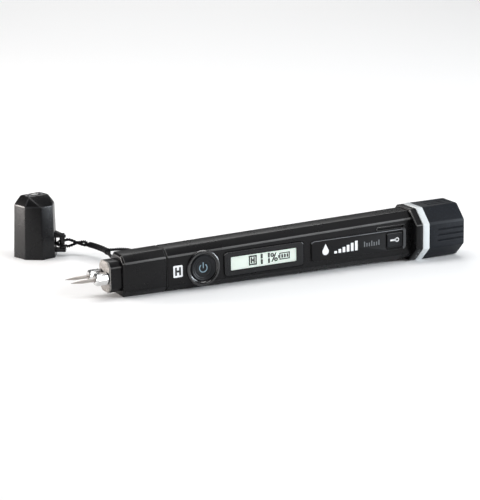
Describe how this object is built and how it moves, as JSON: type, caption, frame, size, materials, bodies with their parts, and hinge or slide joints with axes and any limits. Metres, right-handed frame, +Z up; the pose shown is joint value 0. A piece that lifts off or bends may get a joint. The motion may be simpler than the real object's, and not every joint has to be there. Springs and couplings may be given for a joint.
{
  "type": "pen moisture meter",
  "caption": "Pen moisture meter with two needle probes, a display, two press buttons, a screw-off torch head and a tethered cap.",
  "frame": {"origin": "centre of the underside of the box round the meter and its standing cap, without the tether", "axes": "+X from the needles to the torch head, -Y is the way the control face looks, +Z up"},
  "size_m": [0.2066, 0.1133, 0.0313],
  "materials": {
    "body_plastic": "satin moulded, fine spark texture",
    "cap_plastic": "satin moulded",
    "panel_plastic": "semi-gloss",
    "button_rubber": "soft matt",
    "grip_rubber": "soft matt, speckled",
    "seal_rubber": "smooth",
    "bezel_plastic": "gloss",
    "window_clear": "clear polycarbonate",
    "lcd": "reflective display glass",
    "elastomer": "smooth",
    "ring_plastic": "pearl white, semi-gloss",
    "plate_metal": "bead blasted",
    "nut_chrome": "bright plated",
    "needle_steel": "ground",
    "stud_brass": "turned",
    "spring_steel": "nickel plated",
    "insulator": "plain moulded",
    "board": "solder mask",
    "chip": "moulded",
    "flex_film": "polyimide film",
    "lead_wire": "insulated wire",
    "cell": "shrink sleeve",
    "core_plastic": "moulded",
    "mirror_cone": "vacuum metallised",
    "led_phosphor": "phosphor dome",
    "lens_clear": "clear acrylic",
    "check_white": "plain",
    "resistor": "lacquered",
    "cord_black": "twisted nylon"
  },
  "bodies": {
    "meter": {"nose_housing": "body_plastic", "pin_plate": "plate_metal", "pin_block": "insulator", "near_pin_stud": "stud_brass", "far_pin_stud": "stud_brass", "sensor_leads": "lead_wire", "nose_seal": "seal_rubber", "tether_pin": "needle_steel", "barrel": "body_plastic", "power_button_collar": "panel_plastic", "power_switch": "stud_brass", "display_bezel": "bezel_plastic", "display_window": "window_clear", "lcd_module": "lcd", "elastomer_connector": "elastomer", "circuit_board": "board", "microcontroller": "chip", "control_panel": "panel_plastic", "torch_switch": "stud_brass", "switch_flex": "flex_film", "battery": "cell", "battery_contact": "spring_steel", "rear_collar": "body_plastic", "head_seal": "seal_rubber"},
    "power_key": {"power_button": "button_rubber"},
    "torch_key": {"torch_button": "button_rubber"},
    "ring": {"trim_ring": "ring_plastic"},
    "head": {"head_core": "core_plastic", "head_grip": "grip_rubber", "battery_spring": "spring_steel", "led_board": "check_white", "led_emitter": "led_phosphor", "reflector": "mirror_cone", "lens": "lens_clear", "lens_bezel": "core_plastic"},
    "near_probe": {"near_needle": "needle_steel"},
    "near_nut": {"near_pin_nut": "nut_chrome"},
    "far_probe": {"far_needle": "needle_steel"},
    "far_nut": {"far_pin_nut": "nut_chrome"},
    "tether": {"tether_cord": "cord_black", "tether_strand": "cord_black", "tether_whipping": "cord_black", "meter_loop": "cord_black", "cap_loop": "cord_black"},
    "cap": {"cap_shell": "cap_plastic", "cap_seal": "seal_rubber", "check_sockets": "nut_chrome", "check_resistor": "resistor", "check_plate": "check_white"}
  },
  "joints": [
    {"name": "power_press", "type": "slide", "parent": "meter", "child": "power_key", "axis": [0, 1, 0], "range_m": [0, 0.0005], "stiffness_N_per_m": 1500},
    {"name": "torch_press", "type": "slide", "parent": "meter", "child": "torch_key", "axis": [0, 1, 0], "range_m": [0, 0.0004], "stiffness_N_per_m": 1500},
    {"name": "ring_slide", "type": "slide", "parent": "meter", "child": "ring", "axis": [0.9998, 0, 0.0206], "range_m": [0, 0.0081]},
    {"name": "head_turn", "type": "hinge", "parent": "ring", "child": "head", "pos_m": [0.08617, -0.0434, 0.01335], "axis": [0.9998, 0, 0.0206], "range_deg": [0, 1440]},
    {"name": "near_needle_slide", "type": "slide", "parent": "meter", "child": "near_probe", "axis": [-0.9998, 0, -0.0206], "range_m": [0, 0.0031]},
    {"name": "near_nut_turn", "type": "hinge", "parent": "near_probe", "child": "near_nut", "pos_m": [-0.0878, -0.047, 0.00976], "axis": [-0.9998, 0, -0.0206], "range_deg": [0, 1540]},
    {"name": "far_needle_slide", "type": "slide", "parent": "meter", "child": "far_probe", "axis": [-0.9998, 0, -0.0206], "range_m": [0, 0.0031]},
    {"name": "far_nut_turn", "type": "hinge", "parent": "far_probe", "child": "far_nut", "pos_m": [-0.0878, -0.0398, 0.00976], "axis": [-0.9998, 0, -0.0206], "range_deg": [0, 1540]},
    {"name": "tether_swing", "type": "hinge", "parent": "meter", "child": "tether", "pos_m": [-0.0695, -0.0322, 0.0102], "axis": [0, 0, 1], "range_deg": [-35, 35]},
    {"name": "cap_turn", "type": "hinge", "parent": "tether", "child": "cap", "pos_m": [-0.07278, 0.0387, 0.0061], "axis": [0, 0, 1], "range_deg": [-40, 40]}
  ],
  "couplings": [
    {"joint": "ring_slide", "follows": "head_turn", "m_per_rad": 0.00031831}
  ]
}
